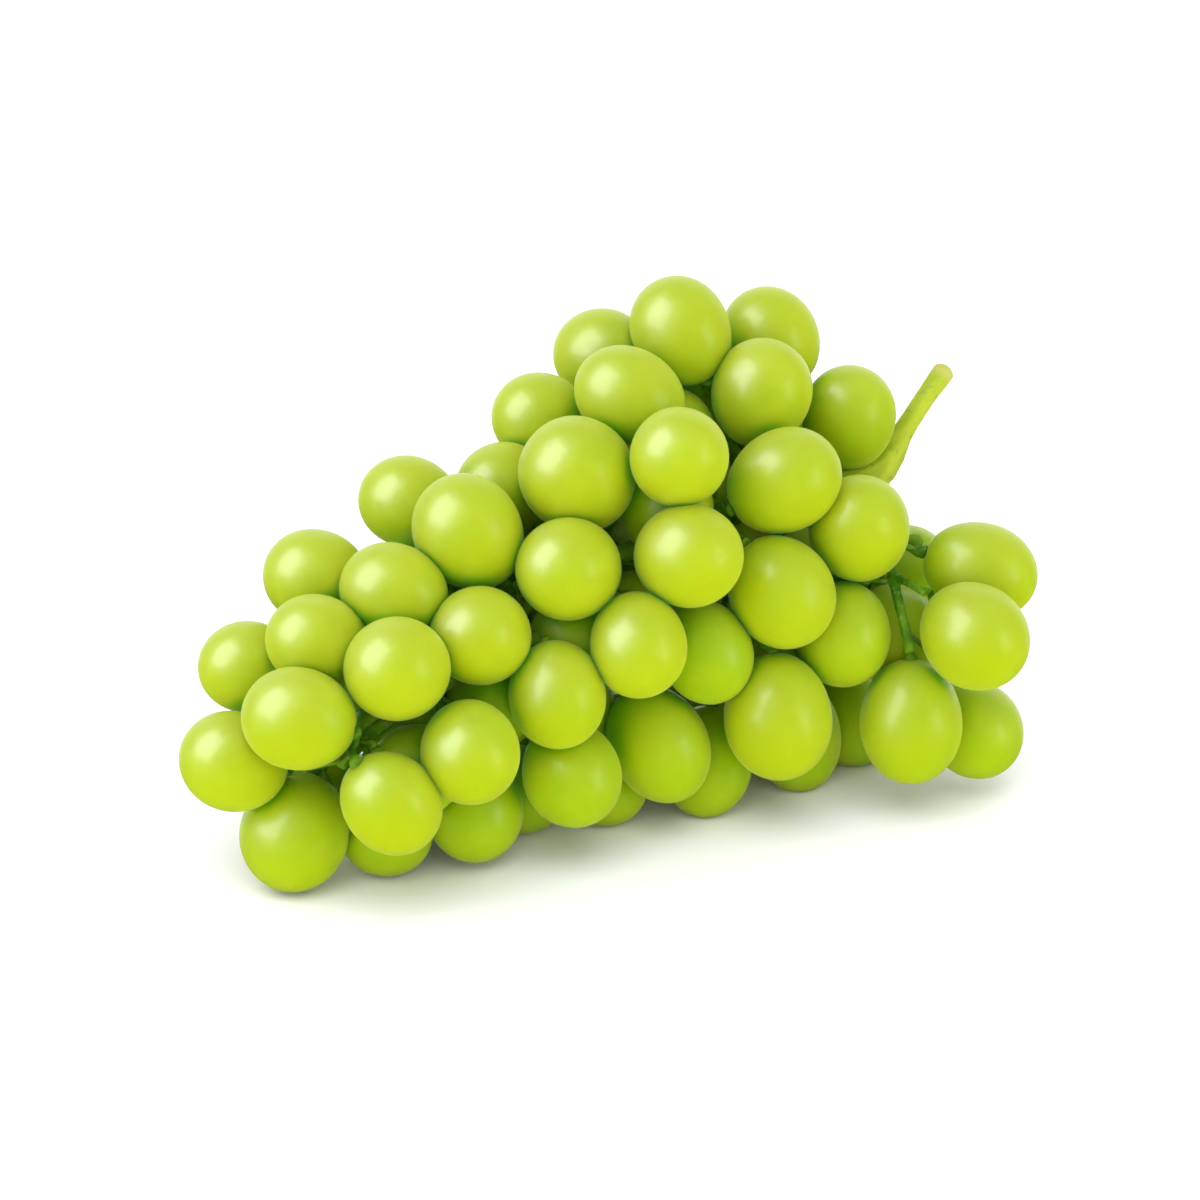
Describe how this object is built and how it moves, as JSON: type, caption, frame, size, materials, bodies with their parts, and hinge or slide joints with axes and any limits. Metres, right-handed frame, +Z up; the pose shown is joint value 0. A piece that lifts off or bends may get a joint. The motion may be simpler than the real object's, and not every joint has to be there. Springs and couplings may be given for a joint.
{
  "type": "bunch of grapes",
  "caption": "Bunch of round green table grapes lying on its side: oval berries pressed together in sprays round a branched green stem with a cut stalk.",
  "frame": {"origin": "under the middle of the bunch's box, on the surface that it lies on", "axes": "+Z up; the bunch lies with its tip towards -X and its stalk towards +X, and the front of the picture looks along +Y"},
  "size_m": [0.1622, 0.121, 0.1],
  "materials": {
    "berry": "translucent yellow-green grape skin, satin with a faint bloom",
    "stem": "green grape stem, slightly rough, with a paler cut end"
  },
  "bodies": {
    "root": {"stem": "stem", "spray_crown": "berry", "spray_crown_front": "berry", "spray_shoulder_front": "berry", "spray_shoulder_back": "berry", "spray_stalk_side": "berry", "spray_stalk_front": "berry", "spray_wing": "berry", "spray_wing_top": "berry", "spray_upper_front": "berry", "spray_upper_back": "berry", "spray_middle_front": "berry", "spray_middle_back": "berry", "spray_under_stalk": "berry", "spray_under_wing": "berry", "spray_under_middle": "berry", "spray_lower_front": "berry", "spray_lower_back": "berry", "spray_tip_top": "berry", "spray_tip": "berry"}
  },
  "joints": []
}
